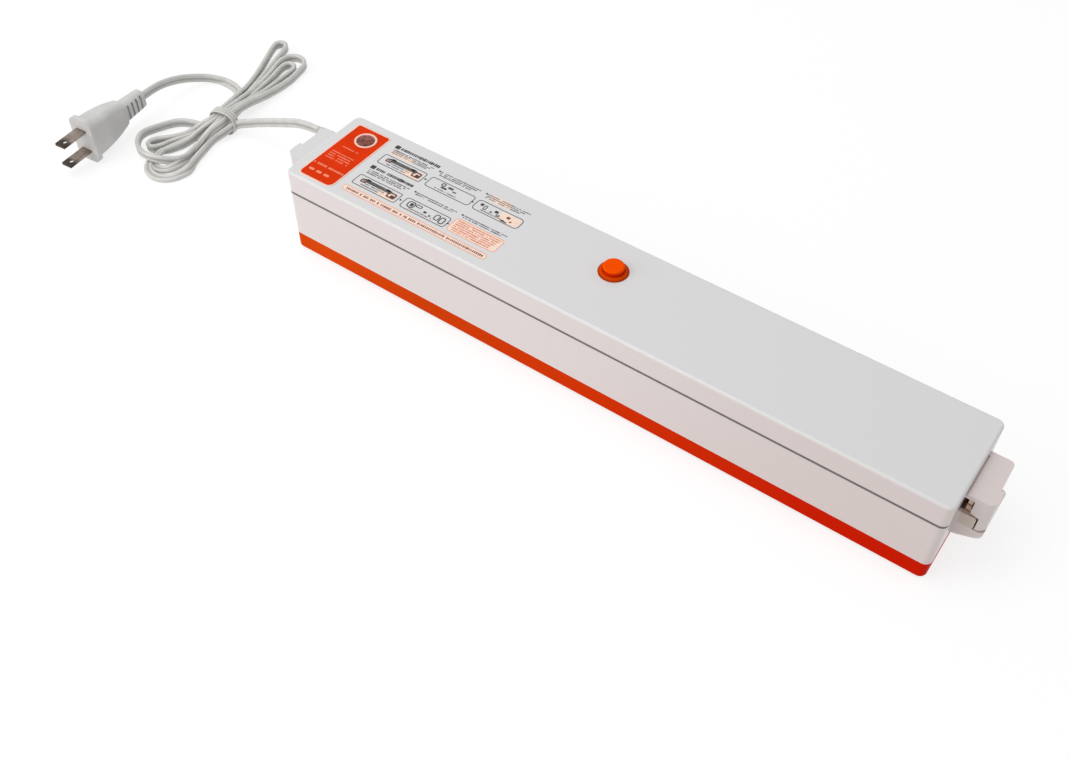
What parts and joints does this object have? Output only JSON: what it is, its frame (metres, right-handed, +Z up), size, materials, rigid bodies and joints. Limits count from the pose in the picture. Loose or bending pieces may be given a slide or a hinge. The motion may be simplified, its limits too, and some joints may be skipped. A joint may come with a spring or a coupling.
{
  "type": "vacuum sealer",
  "caption": "Long low vacuum sealer with a hinged lid, a vent button, sprung latch ears, a gasketed chamber, a heater bar and a cord with a flat-pin plug.",
  "frame": {"origin": "on the table, under the middle of the machine", "axes": "+X along the machine towards its right end, +Y towards the hinge side, +Z up"},
  "size_m": [0.5001, 0.1587, 0.0533],
  "materials": {
    "white_shell": "smooth",
    "orange_shell": "smooth",
    "orange_button": "smooth",
    "deck_plastic": "fine texture",
    "lens_plastic": "smooth, faceted",
    "latch_plastic": "fine texture",
    "gasket_rubber": "matt",
    "foot_rubber": "matt",
    "strip_rubber": "matt",
    "heater_tape": "woven, coated",
    "heater_metal": "satin",
    "wire_metal": "satin",
    "terminal_brass": "satin",
    "steel": "satin",
    "spring_steel": "polished",
    "motor_steel": "satin",
    "pump_plastic": "fine texture",
    "hose_rubber": "smooth",
    "board_green": "smooth",
    "component_black": "smooth",
    "transformer_core": "laminated",
    "cord_plastic": "smooth",
    "plug_plastic": "smooth",
    "tie_plastic": "smooth",
    "pin_brass": "satin"
  },
  "bodies": {
    "base": {"base_shell": "white_shell", "base_tray": "orange_shell", "board_capacitors": "component_black", "board_relay": "component_black", "chamber_deck": "deck_plastic", "circuit_board": "board_green", "cord_hank": "cord_plastic", "cord_lead": "cord_plastic", "cord_tail": "cord_plastic", "cord_tie": "tie_plastic", "heater_bar": "heater_metal", "heater_tape": "heater_tape", "heater_terminals": "terminal_brass", "heating_wire": "wire_metal", "hinge_pins": "steel", "intake_nozzle": "pump_plastic", "latch_pin_left": "steel", "latch_pin_right": "steel", "latch_spring_left": "spring_steel", "latch_spring_right": "spring_steel", "lid_switch_left": "component_black", "lid_switch_right": "component_black", "lower_gasket": "gasket_rubber", "motor_clamp": "deck_plastic", "plug_body": "plug_plastic", "plug_pins": "pin_brass", "pump_head": "pump_plastic", "pump_hose": "hose_rubber", "pump_motor": "motor_steel", "rubber_feet": "foot_rubber", "strain_relief": "cord_plastic", "transformer": "transformer_core", "tray_screws": "steel"},
    "lid": {"lid_shell": "white_shell", "indicator_lens": "lens_plastic", "lid_liner": "deck_plastic", "upper_gasket": "gasket_rubber", "seal_strip": "strip_rubber", "liner_screws": "steel", "vent_bezel": "orange_button", "vent_spring": "spring_steel"},
    "vent": {"vent_button": "orange_button", "vent_seal": "gasket_rubber"},
    "latch_left": {"latch_lever_left": "latch_plastic"},
    "latch_right": {"latch_lever_right": "latch_plastic"},
    "switch_left": {"switch_plunger_left": "latch_plastic"},
    "switch_right": {"switch_plunger_right": "latch_plastic"}
  },
  "joints": [
    {"name": "lid_hinge", "type": "hinge", "parent": "base", "child": "lid", "pos_m": [0, 0.0244, 0.0369], "axis": [-1, 0, 0], "range_deg": [0, 75]},
    {"name": "vent_press", "type": "slide", "parent": "lid", "child": "vent", "axis": [0, 0, -1], "range_m": [0, 0.0022], "stiffness_N_per_m": 500, "deforming": ["vent_spring"]},
    {"name": "latch_left_press", "type": "hinge", "parent": "base", "child": "latch_left", "pos_m": [-0.1733, -0.0004, 0.0306], "axis": [0, 1, 0], "range_deg": [0, 7], "stiffness_Nm_per_rad": 0.06},
    {"name": "latch_right_press", "type": "hinge", "parent": "base", "child": "latch_right", "pos_m": [0.1733, -0.0004, 0.0306], "axis": [0, -1, 0], "range_deg": [0, 7], "stiffness_Nm_per_rad": 0.06},
    {"name": "switch_left_press", "type": "slide", "parent": "base", "child": "switch_left", "axis": [0, 0, -1], "range_m": [0, 0.001], "stiffness_N_per_m": 300},
    {"name": "switch_right_press", "type": "slide", "parent": "base", "child": "switch_right", "axis": [0, 0, -1], "range_m": [0, 0.001], "stiffness_N_per_m": 300}
  ]
}
